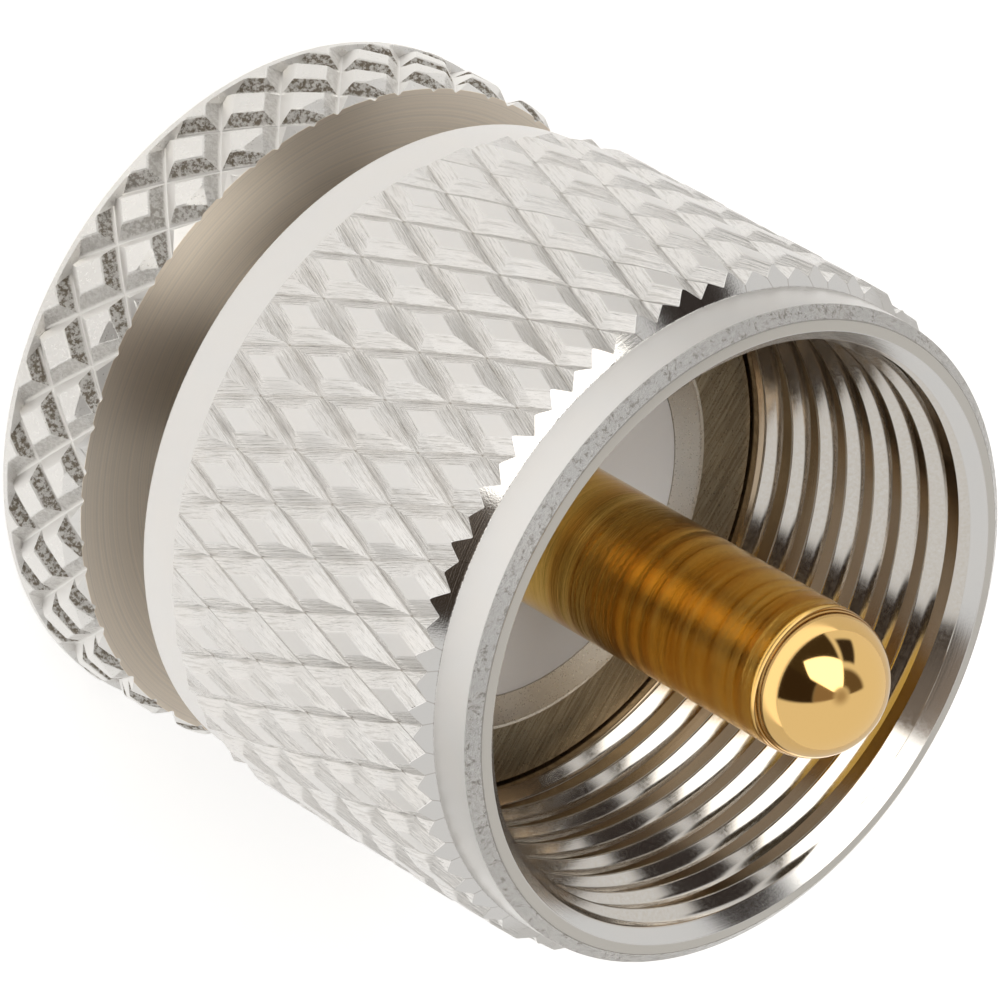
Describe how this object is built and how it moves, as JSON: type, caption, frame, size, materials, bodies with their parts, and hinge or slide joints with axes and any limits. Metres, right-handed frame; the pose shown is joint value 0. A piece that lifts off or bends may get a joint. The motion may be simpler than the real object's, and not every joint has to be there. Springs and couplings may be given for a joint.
{
  "type": "uhf connector",
  "caption": "Round coaxial plug with a knurled free-turning coupling nut, a round-nosed centre pin in a white insulator and a knurled grip ring.",
  "frame": {"origin": "centre of the flat back face, on the connector's axis", "axes": "+Z along the axis towards the tip of the centre pin"},
  "size_m": [0.019, 0.019, 0.023],
  "materials": {
    "nickel_body": "nickel plated, turned",
    "nickel_nut": "nickel plated, satin",
    "nickel_plug": "nickel plated, faced",
    "spring_steel": "plain",
    "white_plastic": "matt, slightly waxy",
    "gold_plate": "gold plated, turned"
  },
  "bodies": {
    "shell": {"body": "nickel_body", "front_insulator": "white_plastic", "rear_insulator": "white_plastic", "centre_pin": "gold_plate", "back_plug": "nickel_plug"},
    "ring": {"retaining_ring": "spring_steel"},
    "nut": {"coupling_nut": "nickel_nut"}
  },
  "joints": [
    {"name": "nut_float", "type": "slide", "parent": "shell", "child": "ring", "axis": [0, 0, 1], "range_m": [-0.0023, 0.0017]},
    {"name": "nut_spin", "type": "hinge", "parent": "ring", "child": "nut", "pos_m": [0, 0, 0.012], "axis": [0, 0, 1], "continuous": true}
  ]
}
